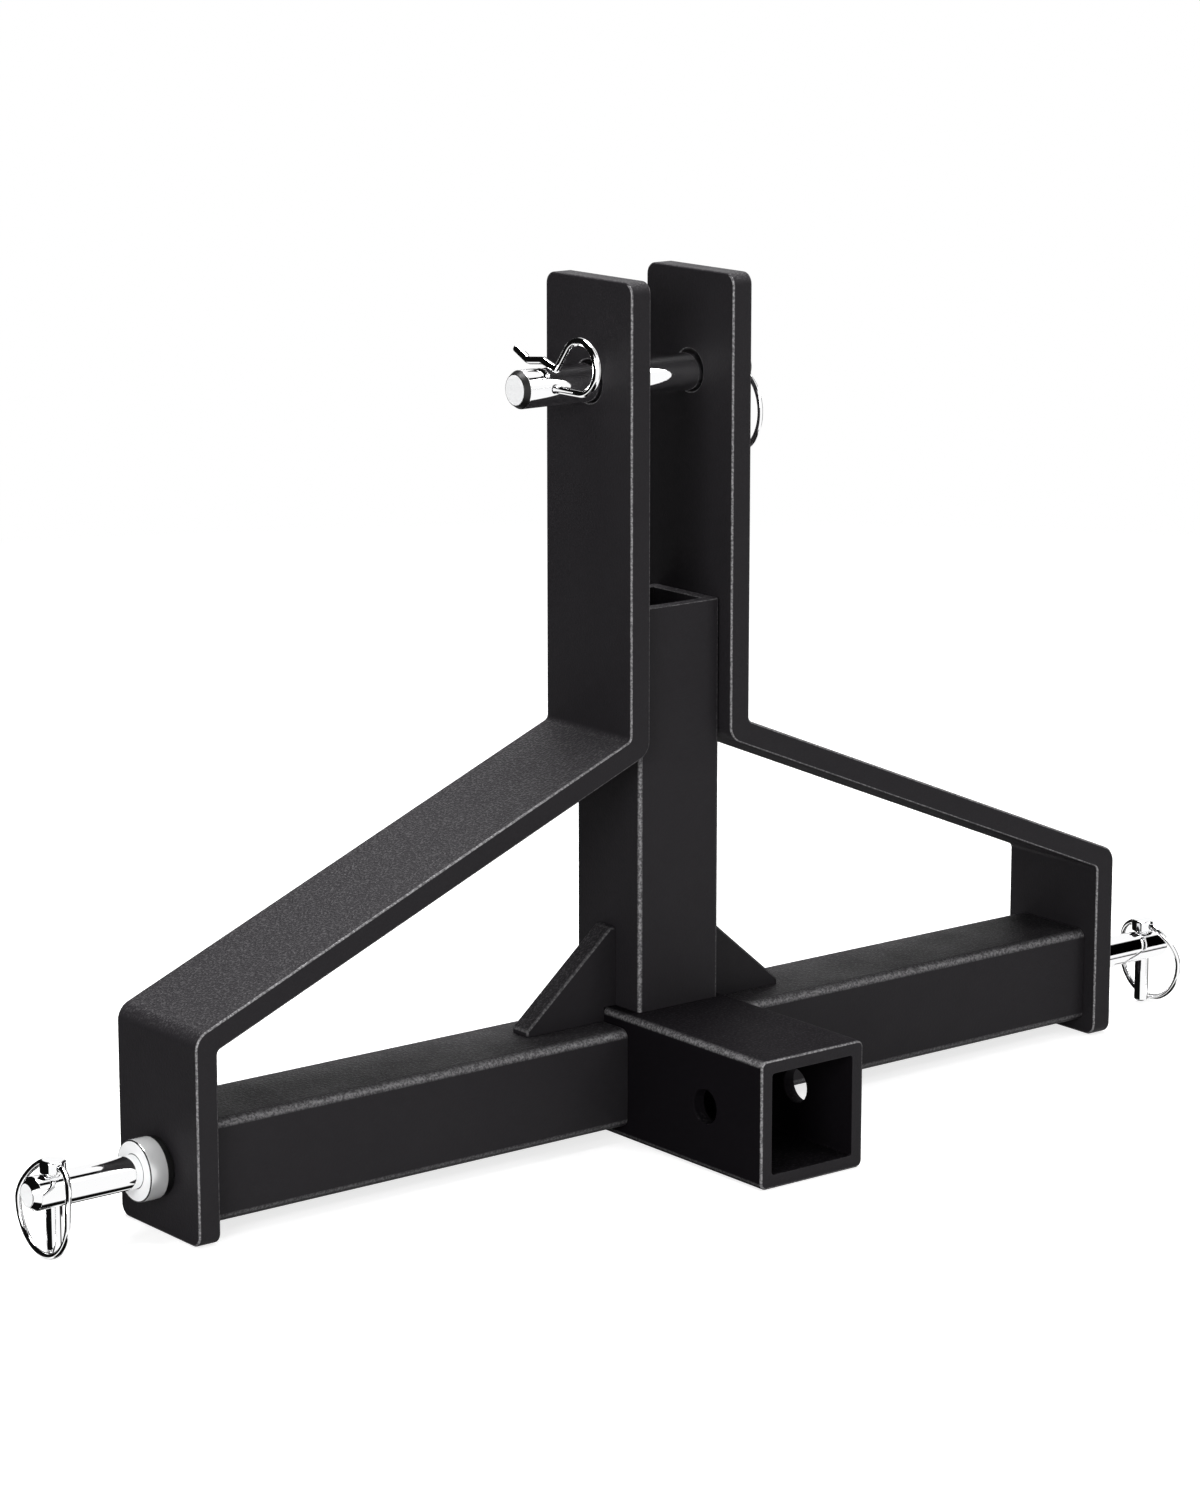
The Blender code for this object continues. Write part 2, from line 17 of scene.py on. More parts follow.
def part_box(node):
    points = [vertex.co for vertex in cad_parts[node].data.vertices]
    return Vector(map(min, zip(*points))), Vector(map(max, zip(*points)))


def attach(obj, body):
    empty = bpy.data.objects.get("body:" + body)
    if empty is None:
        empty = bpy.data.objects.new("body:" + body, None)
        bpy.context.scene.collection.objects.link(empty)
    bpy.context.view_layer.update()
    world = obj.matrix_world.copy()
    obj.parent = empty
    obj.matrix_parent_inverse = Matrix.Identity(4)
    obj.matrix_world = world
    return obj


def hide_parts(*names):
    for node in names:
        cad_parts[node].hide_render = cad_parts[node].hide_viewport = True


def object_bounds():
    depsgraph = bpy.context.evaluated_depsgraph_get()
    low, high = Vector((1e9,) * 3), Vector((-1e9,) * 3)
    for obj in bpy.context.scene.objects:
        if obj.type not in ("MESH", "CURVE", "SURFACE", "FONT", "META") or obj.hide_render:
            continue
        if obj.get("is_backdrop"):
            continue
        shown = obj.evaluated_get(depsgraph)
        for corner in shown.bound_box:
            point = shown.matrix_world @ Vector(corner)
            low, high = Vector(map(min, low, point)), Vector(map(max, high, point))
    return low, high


bl_info = {
    "name": "Receiver Hitch Finish",
    "version": (1, 0, 0),
    "blender": (4, 5, 0),
    "location": "View3D > Sidebar > Hitch",
    "description": "Dresses a packed three-point receiver hitch in finished steel, pins and wires",
    "category": "Object",
}

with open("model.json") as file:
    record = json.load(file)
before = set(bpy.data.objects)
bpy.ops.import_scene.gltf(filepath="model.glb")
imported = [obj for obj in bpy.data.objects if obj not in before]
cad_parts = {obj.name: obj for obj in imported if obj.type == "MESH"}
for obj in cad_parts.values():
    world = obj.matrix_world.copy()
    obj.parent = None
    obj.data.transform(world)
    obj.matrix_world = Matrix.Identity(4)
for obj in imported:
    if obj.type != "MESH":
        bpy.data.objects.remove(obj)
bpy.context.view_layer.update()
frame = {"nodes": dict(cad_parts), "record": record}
BODY_OF = {
    node: body for body, nodes in frame["record"]["behaviour"]["bodies"].items() for node in nodes
}
HANDS = (("left", -1), ("right", 1))
X, Y, Z = range(3)

# Clearance between neighbours, how far a cutter sticks out, and when two points count as touching or one
SEAT = 0.0003
CUT_PAST = 0.004
TOUCH = 1e-5
SAME_POINT = 1e-6

# Facets round a bar, a small hole and a wire, and along a round edge, a tube's corner and a curve
ROUND_SIDES = 96
HOLE_SIDES = 48
WIRE_SIDES = 14
PULL_RING_SIDES = 24
FINE_STEPS = 3
EDGE_STEPS = 4
CORNER_STEPS = 8
BEND_STEPS = 12
LYNCH_RING_STEPS = 48
CLIP_LOOP_STEPS = 64
PULL_RING_STEPS = 144

# Angles between faces that make an edge sharp, and how closely an edge or a normal follows an axis
SHARP = math.radians(50)
CONE_SHARP = math.radians(20)
PARALLEL = math.cos(math.radians(2))
END_FACING = 0.99
CONE_FACING = 0.3
RIM_FACING = 0.7

# Places in a piece's list of materials
MAIN, ENDS, CONES = range(3)

# How strongly the rounds of tubes and of the frame's lesser edges show rubbing and a painted highlight, and
# the side of the key light, the only side where they show
CORNER_WEAR_AND_HIGHLIGHT = 0.9
FAINT_WEAR_AND_HIGHLIGHT = 0.4
KEY_LIGHT_SIDE = (-0.62, -0.70, 0.35)

# Slant of a spring washer's split, and the place of the point partway along a lynch ring's stub
WASHER_SPLIT = math.radians(25)
STUB_SHARE = 0.55

# Black strips in the sky, in degrees (turn from, turn to, height from, height to), and their soft edge
BLACK_STRIPS = (
    (66, 200, -30, 66), (200, 262, 38, 75), (320, 338, -30, 75), (42, 75, -50, -15),
    (120, 262, -60, -47), (-3, 363, -93, -57),
)
STRIP_EDGE = math.radians(3)
STRIP_LEVEL = 0.004

# Corners (x, z) of the black card, and where it stands
BLACK_CARD = ((0.80, -0.12), (1.30, -0.12), (1.95, 1.45), (1.15, 1.45))
BLACK_CARD_Y = -0.74

# The floor's sides, radius, grey and glow, and the distances over which it fades into the sky
FLOOR_SIDES = 128
FLOOR_RADIUS = 9.0
FLOOR_GREY = 0.5
FLOOR_GLOW = 0.76
FLOOR_FADE = (0.7, 1.8)

# Each softbox's side, place and width, and the point that they all face
SOFTBOXES = (
    ("top", (0.15, 0.35, 2.35), 1.2),
    ("left", (-2.4, -1.3, 0.9), 1.1),
    ("right", (1.3, -1.55, 1.6), 0.8),
)
LIGHT_AIM = Vector((0.0, 0.0, 0.18))
SENSOR_WIDTH = 36.0


def measure(label, meaning, default):
    """A length that the panel shows."""
    return FloatProperty(name=label, description=meaning, default=default, unit="LENGTH")


def tint(label, meaning, default):
    """A colour that the panel shows."""
    return FloatVectorProperty(
        name=label, description=meaning, default=default, subtype="COLOR", min=0.0, max=1.0
    )


def watts(label, meaning, default):
    """A lamp's power that the panel shows."""
    return FloatProperty(name=label, description=meaning, default=default, unit="POWER")


class HitchFrameSizes(bpy.types.PropertyGroup):
    """Walls, corners and bends of the welded frame"""

    receiver_wall: measure("Receiver wall", "Wall of the receiver tube", 0.007)
    receiver_corner: measure("Receiver corner", "Outer corner radius of the receiver tube", 0.0035)
    receiver_bore_corner: measure("Bore corner", "Corner radius inside the receiver tube", 0.0015)
    hitch_pin_hole: measure("Hitch pin hole", "Diameter of the cross hole for the hitch pin", 0.0175)
    hitch_pin_setback: measure("Hitch pin setback", "From the receiver's mouth to the cross hole", 0.0432)
    tube_wall: measure("Tube wall", "Wall of the mast and the cross tubes", 0.00635)
    cross_tube_corner: measure("Cross tube corner", "Outer corner radius of the cross tubes", 0.0045)
    mast_corner: measure("Mast corner", "Outer corner radius of the mast tube", 0.002)
    tube_bore_corner: measure("Tube bore corner", "Corner radius inside the mast and cross tubes", 0.0008)
    plate_thickness: measure("Plate thickness", "Thickness of the bent flat bar", 0.012)
    upper_bend: measure("Upper bend", "Height of the upper bend over the lower pins", 0.1754)
    lower_bend: measure("Lower bend", "Height of the lower bend over the lower pins", 0.0697)
    top_hole: measure("Top hole", "Diameter of the plates' holes for the top link pin", 0.021)
    outer_bend: measure("Outer bend radius", "Radius on the outside of a bend", 0.009)
    inner_bend: measure("Inner bend radius", "Radius on the inside of a bend", 0.003)
    end_corner: measure("Bar end corner", "Radius of the flat bar's cut corners", 0.006)
    gusset_nose: measure("Gusset nose", "Flat left at the gusset's tips", 0.003)
    edge: measure("Edge round", "Radius that the coat gives to a cut edge", 0.0013)


class HitchPinSizes(bpy.types.PropertyGroup):
    """Shafts, heads and wires of the pins"""

    shank: measure("Shank", "Diameter of a lower pin's threaded shank", 0.014)
    pin_chamfer: measure("Lower pin chamfer", "Length of the cone on a lower pin's end", 0.0034)
    pin_tip: measure("Lower pin tip", "Diameter of a lower pin's flat tip", 0.0116)
    collar_edge: measure("Collar edge", "Radius of the collar's rims", 0.0007)
    lynch_shaft: measure("Lynch shaft", "Diameter of a lynch pin's shaft", 0.008)
    lynch_chamfer: measure("Lynch chamfer", "Chamfer on a lynch pin's end", 0.001)
    lynch_head: measure("Lynch head height", "Height of a lynch pin's head", 0.0062)
    lynch_edge: measure("Lynch head edge", "Radius on top of a lynch pin's head", 0.0014)
    ring_wire: measure("Ring wire", "Diameter of the rings' wire", 0.003)
    top_chamfer: measure("Top pin chamfer", "Length of the cone on the top link pin's ends", 0.0029)
    top_tip: measure("Top pin tip", "Diameter of the top link pin's flat tips", 0.0154)
    clip_wire: measure("Clip wire", "Diameter of the R clip's wire", 0.004)
    clip_leg: measure("Clip leg", "Straight leg past the middle of the top pin", 0.027)
    clip_loop: measure("Clip loop", "Radius of the R clip's loop", 0.0126)
    clip_loop_centre: measure("Clip loop centre", "From the top pin's middle to the loop's middle", 0.0293)
    clip_neck_out: measure("Clip neck out", "From the top pin's middle back to the clip's neck", 0.011)
    clip_neck_up: measure("Clip neck up", "From the top pin's middle up to the clip's neck", 0.0095)
    clip_bow_rise: measure("Clip bow rise", "Rise of the bow over the lowest point of its leg", 0.0012)
    clip_dip_out: measure("Clip dip out", "From the top pin's middle to the bow's lowest point", 0.0115)
    clip_flare_out: measure("Clip flare out", "From the top pin's middle to the bowed leg's end", 0.0218)
    clip_flare_rise: measure("Clip flare rise", "Rise of the bowed leg's end", 0.005)
    clip_bend: measure("Clip bend", "Radius of the R clip's tight bends", 0.003)


class HitchFinishes(bpy.types.PropertyGroup):
    """Colours of the coat and the plating"""

    powder: tint("Powder coat", "Colour of the powder coat", (0.0175, 0.0160, 0.0182))
    # Painted shade: a darker copy of the powder coat for the receiver, which stands in for the shade that
    # the mast, gussets and plates cast on it.
    receiver: tint("Receiver coat", "Colour of the receiver's smoother coat", (0.0062, 0.0054, 0.0066))
    # Pale colour of coat thinned by rubbing on edges, also used for the painted highlight on edges towards
    # the key light and for the painted glints on faces that point up
    worn_edge_and_glint: tint("Worn coat", "Colour where the coat is thin on an edge", (0.34, 0.334, 0.342))
    bright: tint("Bright plating", "Colour of the polished pins and wires", (0.98, 0.98, 0.985))
    satin: tint("Satin plating", "Colour of the zinc collars and the pins' flat ends", (0.95, 0.955, 0.96))
    oxide: tint("Black oxide", "Colour of the washers, nuts and chamfers", (0.02, 0.02, 0.022))


class HitchStudio(bpy.types.PropertyGroup):
    """Camera and lights"""

    azimuth: FloatProperty(
        name="Azimuth", description="Camera's turn round the hitch", default=math.radians(-38.083),
        subtype="ANGLE",
    )
    elevation: FloatProperty(
        name="Elevation", description="Camera's angle over the floor", default=math.radians(12.717),
        subtype="ANGLE",
    )
    distance: measure("Distance", "From the camera to its aim", 2.36)
    aim: FloatVectorProperty(
        name="Aim", description="Point that the camera looks at", subtype="TRANSLATION",
        default=(0.0079, 0.0965, 0.1823),
    )
    lens: FloatProperty(
        name="Lens", description="Focal length on a 36 mm frame", default=110.84, unit="CAMERA"
    )
    top_light: watts("Top light", "Power of the softbox over and behind the hitch", 94.0)
    left_light: watts("Left light", "Power of the softbox left of the camera", 33.0)
    right_light: watts("Right light", "Power of the softbox on the front right", 10.0)
    sky: FloatProperty(name="Sky", description="Strength of the light from all around", default=0.33)


def new_material(name):
    """A new node material, its node tree and its Principled shader."""
    material = bpy.data.materials.new(name)
    material.use_nodes = True
    tree = material.node_tree
    return material, tree, tree.nodes["Principled BSDF"]


def set_inputs(node, inputs):
    """Links each input that is given a socket, and sets the others to the value they are given."""
    for name, value in inputs.items():
        if isinstance(value, bpy.types.NodeSocket):
            node.id_data.links.new(value, node.inputs[name])
        else:
            node.inputs[name].default_value = value


def add(tree, kind, inputs, **settings):
    node = tree.nodes.new(kind)
    for name, value in settings.items():
        setattr(node, name, value)
    set_inputs(node, inputs)
    return node


def calculate(tree, operation, first, second):
    return add(tree, "ShaderNodeMath", {0: first, 1: second}, operation=operation).outputs[0]


def remap(tree, value, low, high, new_low=0.0, new_high=1.0):
    """Takes a value from one range to another, and stops at the ends."""
    sockets = {"Value": value, "From Min": low, "From Max": high, "To Min": new_low, "To Max": new_high}
    return add(tree, "ShaderNodeMapRange", sockets).outputs[0]


def object_place(tree):
    return add(tree, "ShaderNodeTexCoord", {}).outputs["Object"]


def noise(tree, vector, scale, detail=2.0, roughness=0.5):
    sockets = {"Vector": vector, "Scale": scale, "Detail": detail, "Roughness": roughness}
    return add(tree, "ShaderNodeTexNoise", sockets).outputs[0]


def bump(tree, height, strength, distance):
    sockets = {"Height": height, "Strength": strength, "Distance": distance}
    return add(tree, "ShaderNodeBump", sockets).outputs[0]


def mix_colours(tree, share, first, second):
    mixed = add(tree, "ShaderNodeMix", {0: share, 6: (*first, 1.0), 7: (*second, 1.0)}, data_type="RGBA")
    return mixed.outputs[2]


def powder_coat(name, colours, colour, gloss, relief):
    """Black powder coat with a grain, and smoother, speckled paler edges: partly coat thinned by rubbing,
    partly a painted highlight that shows only on the side of the key light. Paler grains on faces that
    point up are painted glints.
    """
    material, tree, shader = new_material(name)
    place = object_place(tree)
    grain = noise(tree, place, scale=800.0, roughness=0.6)
    mottle = noise(tree, place, scale=40.0, detail=3.0)
    way = add(tree, "ShaderNodeTexCoord", {}).outputs["Normal"]
    upward = add(tree, "ShaderNodeSeparateXYZ", {0: way}).outputs[Z]
    level = remap(tree, upward, 0.3, 0.85)
    # Painted highlight: the paler, speckled edges show only where they turn towards the key light, and less
    # where they face up, where the light is already strong; the rest of their paleness is coat thinned by
    # rubbing.
    toward_key_light = add(tree, "ShaderNodeVectorMath", {0: way, 1: KEY_LIGHT_SIDE}, operation="DOT_PRODUCT")
    crown = add(tree, "ShaderNodeAttribute", {}, attribute_name="crown").outputs["Fac"]
    lit_side_wear_and_highlight = calculate(tree, "MULTIPLY", crown, remap(tree, toward_key_light.outputs["Value"], 0.35, 0.7))
    speckled_wear_and_highlight = calculate(tree, "MULTIPLY", lit_side_wear_and_highlight, remap(tree, grain, 0.40, 0.62, 0.30, 1.0))
    wear_and_highlight_share = calculate(tree, "MULTIPLY", speckled_wear_and_highlight, remap(tree, level, 0.0, 1.0, 1.0, 0.35))
    # Painted glints: paler grains only on faces that point up, where the light from above would catch them.
    painted_grain_glint = calculate(tree, "MULTIPLY", remap(tree, grain, 0.5, 0.72, 0.0, 0.15 * relief), level)
    share = calculate(tree, "MAXIMUM", wear_and_highlight_share, painted_grain_glint)
    satin = remap(tree, mottle, 0.3, 0.7, 0.52, 0.62)
    smoother = calculate(tree, "MULTIPLY", lit_side_wear_and_highlight, 0.25)
    depth = remap(tree, level, 0.0, 1.0, 0.25 * relief, relief)
    set_inputs(shader, {
        "Base Color": mix_colours(tree, share, colour, colours.worn_edge_and_glint),
        "Metallic": calculate(tree, "MULTIPLY", speckled_wear_and_highlight, 0.3),
        "Roughness": calculate(tree, "SUBTRACT", satin, smoother),
        "Specular IOR Level": gloss,
        "Normal": bump(tree, grain, depth, 0.0006),
    })
    return material


def turned_place(tree, centre):
    """Coordinates of a turned piece round an X axis: the same all the way round, like lathe marks."""
    moved = add(tree, "ShaderNodeMapping", {"Vector": object_place(tree), "Location": -centre})
    parts = add(tree, "ShaderNodeSeparateXYZ", {"Vector": moved.outputs[0]})
    across = calculate(tree, "MULTIPLY", parts.outputs[Y], parts.outputs[Y])
    up = calculate(tree, "MULTIPLY", parts.outputs[Z], parts.outputs[Z])
    radius = calculate(tree, "SQRT", calculate(tree, "ADD", across, up), 0.0)
    return add(tree, "ShaderNodeCombineXYZ", {"X": parts.outputs[X], "Y": radius}).outputs[0]


def bright_plating(name, colours):
    """Polished plating: nearly a mirror, with faint waves and slightly duller patches."""
    material, tree, shader = new_material(name)
    place = object_place(tree)
    haze = noise(tree, place, scale=260.0, detail=4.0, roughness=0.6)
    set_inputs(shader, {
        "Base Color": (*colours.bright, 1.0),
        "Metallic": 1.0,
        "Roughness": remap(tree, haze, 0.35, 0.75, 0.015, 0.06),
        "Normal": bump(tree, noise(tree, place, scale=90.0), 0.03, 0.001),
    })
    return material


def satin_plating(name, colours, centre, metal, roughness):
    """Zinc on a lathe-turned face: fine marks that run round the piece."""
    material, tree, shader = new_material(name)
    marks = noise(tree, turned_place(tree, centre), scale=2600.0, detail=3.0, roughness=0.7)
    cloud = noise(tree, object_place(tree), scale=90.0, detail=3.0)
    set_inputs(shader, {
        "Base Color": (*colours.satin, 1.0),
        "Metallic": metal,
        "Roughness": remap(tree, cloud, 0.3, 0.7, roughness * 0.9, roughness * 1.1),
        "Normal": bump(tree, marks, 0.06, 0.0003),
    })
    return material


def black_oxide(name, colours):
    """Oiled black oxide: dark metal with a mottled sheen."""
    material, tree, shader = new_material(name)
    mottle = noise(tree, object_place(tree), scale=300.0, detail=4.0, roughness=0.6)
    set_inputs(shader, {
        "Base Color": (*colours.oxide, 1.0),
        "Metallic": 0.8,
        "Roughness": remap(tree, mottle, 0.3, 0.7, 0.36, 0.55),
        "Normal": bump(tree, mottle, 0.15, 0.0003),
    })
    return material


def shared(maker, name, *details, **amounts):
    """The material called name, made the first time that a piece asks for it."""
    return bpy.data.materials.get(name) or maker(name, *details, **amounts)


def frame_coat(context):
    colours = context.scene.hitch_finishes
    return shared(powder_coat, "black_powder_coat", colours, colours.powder, gloss=0.14, relief=1.0)


def middle(node):
    low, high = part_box(node)
    return (low + high) / 2


def extent(node):
    low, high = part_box(node)
    return high - low


def new_shape():
    """An empty bmesh that can mark the middles of its rounded edges, where they show rubbing and a painted
    highlight.
    """
    shape = bmesh.new()
    shape.verts.layers.float.new("crown")
    return shape


def move(shape, by):
    bmesh.ops.translate(shape, vec=by, verts=shape.verts)


def rotate(shape, angle, axis):
    bmesh.ops.rotate(shape, matrix=Matrix.Rotation(angle, 3, axis), verts=shape.verts)


def to_side(shape, side):
    """Mirrors a shape made for the right when side is -1."""
    bmesh.ops.scale(shape, vec=(side, 1.0, 1.0), verts=shape.verts)


def weld(shape):
    bmesh.ops.remove_doubles(shape, verts=shape.verts, dist=SAME_POINT)


def face_out(shape):
    bmesh.ops.recalc_face_normals(shape, faces=shape.faces)


def block(size):
    """A plain bar around the origin."""
    shape = new_shape()
    bmesh.ops.create_cube(shape, size=1.0)
    bmesh.ops.scale(shape, vec=size, verts=shape.verts)
    return shape


def round_off(shape, edges, radius, steps=EDGE_STEPS, crown=0.0):
    """Rounds edges, and marks the points in the middle of each round with the share of rubbing and painted
    highlight that they show.
    """
    rounded = bmesh.ops.bevel(
        shape, geom=edges, offset=radius, offset_type="OFFSET", affect="EDGES", segments=steps,
        profile=0.5, material=-1, clamp_overlap=True, loop_slide=False,
    )
    if crown:
        layer = shape.verts.layers.float["crown"]
        faces = set(rounded["faces"])
        for vert in rounded["verts"]:
            if all(face in faces for face in vert.link_faces):
                vert[layer] = crown


def sharp_edges(shape, angle=SHARP):
    return [edge for edge in shape.edges if edge.is_manifold and edge.calc_face_angle(0.0) > angle]


def runs_along(edge, axis):
    return abs((edge.verts[1].co - edge.verts[0].co).normalized()[axis]) > PARALLEL


def rod(radius, length, axis, at, sides=ROUND_SIDES):
    """A plain round bar along one axis, as a bmesh."""
    shape = new_shape()
    bmesh.ops.create_cone(
        shape, cap_ends=True, segments=sides, radius1=radius, radius2=radius, depth=length
    )
    if axis != Z:
        rotate(shape, math.pi / 2, "Y" if axis == X else "X")
    move(shape, at)
    return shape


def as_object(name, shape):
    mesh = bpy.data.meshes.new(name)
    face_out(shape)
    shape.to_mesh(mesh)
    shape.free()
    made = bpy.data.objects.new(name, mesh)
    bpy.context.scene.collection.objects.link(made)
    return made


def bored(shape, *cutters):
    """The shape with each cutter taken out of it."""
    work = as_object("work", shape)
    tools = [as_object("tool", cutter) for cutter in cutters]
    for tool in tools:
        cut = work.modifiers.new("cut", "BOOLEAN")
        cut.object = tool
        cut.operation = "DIFFERENCE"
        cut.solver = "EXACT"
    result = new_shape()
    result.from_object(work, bpy.context.evaluated_depsgraph_get())
    weld(result)
    for spent in (work, *tools):
        mesh = spent.data
        bpy.data.objects.remove(spent)
        bpy.data.meshes.remove(mesh)
    return result


def turned(outline):
    """Turns an outline of (place along X, radius) points round the X axis.

    An outline that starts and ends on the axis gives a bar, and any other is closed and gives a ring.
    """
    shape = new_shape()
    corners = [shape.verts.new((along, radius, 0.0)) for along, radius in outline]
    edges = [shape.edges.new(pair) for pair in zip(corners, corners[1:])]
    if outline[0][1] > 0.0:
        edges.append(shape.edges.new((corners[-1], corners[0])))
    spin(shape, corners + edges, ROUND_SIDES)
    face_out(shape)
    return shape


def spin(shape, outline, steps):
    """Sweeps an outline once round the X axis."""
    bmesh.ops.spin(
        shape, geom=outline, cent=(0.0, 0.0, 0.0), axis=(1.0, 0.0, 0.0), angle=math.tau, steps=steps,
        use_merge=True,
    )
    weld(shape)


def extruded(outline, thickness):
    """A flat closed outline of (x, z) points, given a thickness along Y around the origin."""
    shape = new_shape()
    face = shape.faces.new([shape.verts.new((x, -thickness / 2, z)) for x, z in outline])
    grown = bmesh.ops.extrude_face_region(shape, geom=[face])
    moved = [part for part in grown["geom"] if isinstance(part, bmesh.types.BMVert)]
    bmesh.ops.translate(shape, vec=(0.0, thickness, 0.0), verts=moved)
    face_out(shape)
    return shape


def rounded_bar(size, corner, axis):
    """A solid bar around the origin whose four long edges are rounded."""
    shape = block(size)
    round_off(shape, [edge for edge in shape.edges if runs_along(edge, axis)], corner, CORNER_STEPS)
    return shape


def square_tube(size, wall, corner, bore_corner, axis, *holes):
    """A square tube around the origin, with any cross holes taken out of it too."""
    bore_size = [length - 2 * wall for length in size]
    bore_size[axis] = size[axis] + 2 * CUT_PAST
    shape = bored(rounded_bar(size, corner, axis), rounded_bar(bore_size, bore_corner, axis), *holes)
    layer = shape.verts.layers.float["crown"]
    across = [other for other in (X, Y, Z) if other != axis]
    # Painted highlight, with some rubbing: each rounded corner is marked strongest halfway round, where the
    # light catches it.
    for vert in shape.verts:
        reach = [abs(vert.co[other]) - size[other] / 2 + corner for other in across]
        if min(reach) > 0.0:
            vert[layer] = CORNER_WEAR_AND_HIGHLIGHT * math.sin(2 * math.atan2(*reach))
    return shape


def clear_wear_and_highlight(shape, axis, level):
    """Takes the rubbing and painted highlight off everything past one level of an axis, such as a tube's
    flat rim.
    """
    layer = shape.verts.layers.float["crown"]
    for vert in shape.verts:
        if math.copysign(1.0, level) * (vert.co[axis] - level) > -TOUCH:
            vert[layer] = 0.0


def end_edges(shape, axis, level):
    """The sharp edges of a shape that lie in the plane at one level of an axis."""
    return [
        edge for edge in sharp_edges(shape)
        if all(abs(vert.co[axis] - level) < TOUCH for vert in edge.verts)
    ]


def mark_ends(shape, chamfer=MAIN):
    """Gives a turned shape's flat ends their own material, and its cones the one numbered chamfer."""
    for face in shape.faces:
        along = abs(face.normal.x)
        if along > END_FACING:
            face.material_index = ENDS
        elif along > CONE_FACING:
            face.material_index = chamfer


def finished(node, shape, slot, *materials):
    """Makes a bmesh the finished piece that stands for a node, on that node's body."""
    piece = as_object(node + "_finished", shape)
    piece.data.shade_smooth()
    piece.data.set_sharp_from_angle(angle=SHARP)
    for material in materials:
        piece.data.materials.append(material)
    even = piece.modifiers.new("even_faces", "WEIGHTED_NORMAL")
    even.mode = "FACE_AREA"
    even.keep_sharp = True
    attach(piece, BODY_OF[node])
    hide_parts(node)


def arc_corner(before, corner, after, radius):
    """The points of an arc that rounds one corner of a path, from one side to the other."""
    back = (before - corner).normalized()
    ahead = (after - corner).normalized()
    half = back.angle(ahead) / 2
    centre = corner + (back + ahead).normalized() * radius / math.sin(half)
    start = corner + back * radius / math.tan(half) - centre
    end = corner + ahead * radius / math.tan(half) - centre
    turn = start.angle(end)
    arc = []
    for step in range(BEND_STEPS + 1):
        share = step / BEND_STEPS
        spoke = (start * math.sin((1 - share) * turn) + end * math.sin(share * turn)) / math.sin(turn)
        arc.append(centre + spoke)
    return arc


def wire(path, thickness):
    """A round wire along a path, with softened ends, as a bmesh."""
    curve = bpy.data.curves.new("wire", "CURVE")
    curve.dimensions = "3D"
    curve.bevel_depth = thickness / 2
    curve.bevel_resolution = WIRE_SIDES // 2 - 2
    curve.use_fill_caps = True
    spline = curve.splines.new("POLY")
    spline.points.add(len(path) - 1)
    for point, place in zip(spline.points, path):
        point.co = (*place, 1.0)
    work = bpy.data.objects.new("wire", curve)
    bpy.context.scene.collection.objects.link(work)
    shape = new_shape()
    shape.from_mesh(work.evaluated_get(bpy.context.evaluated_depsgraph_get()).to_mesh())
    bpy.data.objects.remove(work)
    bpy.data.curves.remove(curve)
    weld(shape)
    face_out(shape)
    round_off(shape, sharp_edges(shape), thickness / 6, FINE_STEPS)
    return shape


